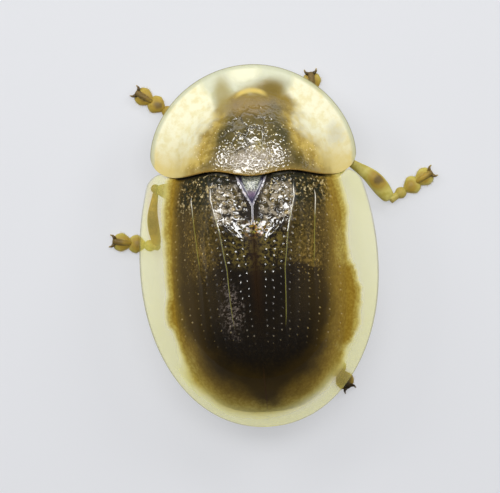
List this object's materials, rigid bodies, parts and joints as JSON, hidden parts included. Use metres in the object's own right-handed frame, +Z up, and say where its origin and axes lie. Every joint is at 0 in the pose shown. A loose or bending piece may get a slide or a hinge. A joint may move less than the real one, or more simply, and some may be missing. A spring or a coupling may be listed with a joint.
{
  "type": "tortoise beetle",
  "caption": "Life-size still model of a tortoise beetle: oval shield with a domed, ribbed disc and a flat clear margin, over a hidden head, feelers and six short legs.",
  "frame": {"origin": "on the floor, under the middle of the whole animal's box, legs and claws included", "axes": "the head points along -Y, the animal's left is +X, +Z is up out of the back; the six soles stand on Z = 0"},
  "size_m": [0.0064, 0.007, 0.0028],
  "materials": {
    "pronotum": "golden olive, glossy and finely pitted, with a clear cream margin",
    "scutellum": "steel grey-green, glossy",
    "elytra": "dark brown-olive, glossy, in rows of pits, with a clear pale margin",
    "underside": "dark brown, satin",
    "head": "olive brown, satin",
    "eyes": "black, glossy",
    "antennae": "straw yellow, darker to the tip",
    "legs": "straw yellow to amber, satin"
  },
  "bodies": {
    "root": {"pronotum": "pronotum", "scutellum": "scutellum", "elytron_left": "elytra", "elytron_right": "elytra", "prothorax": "underside", "thorax": "underside", "abdomen": "underside", "head": "head", "eye_left": "eyes", "eye_right": "eyes", "antenna_left": "antennae", "antenna_right": "antennae", "leg_front_left": "legs", "leg_front_right": "legs", "leg_middle_left": "legs", "leg_middle_right": "legs", "leg_hind_left": "legs", "leg_hind_right": "legs"}
  },
  "joints": []
}
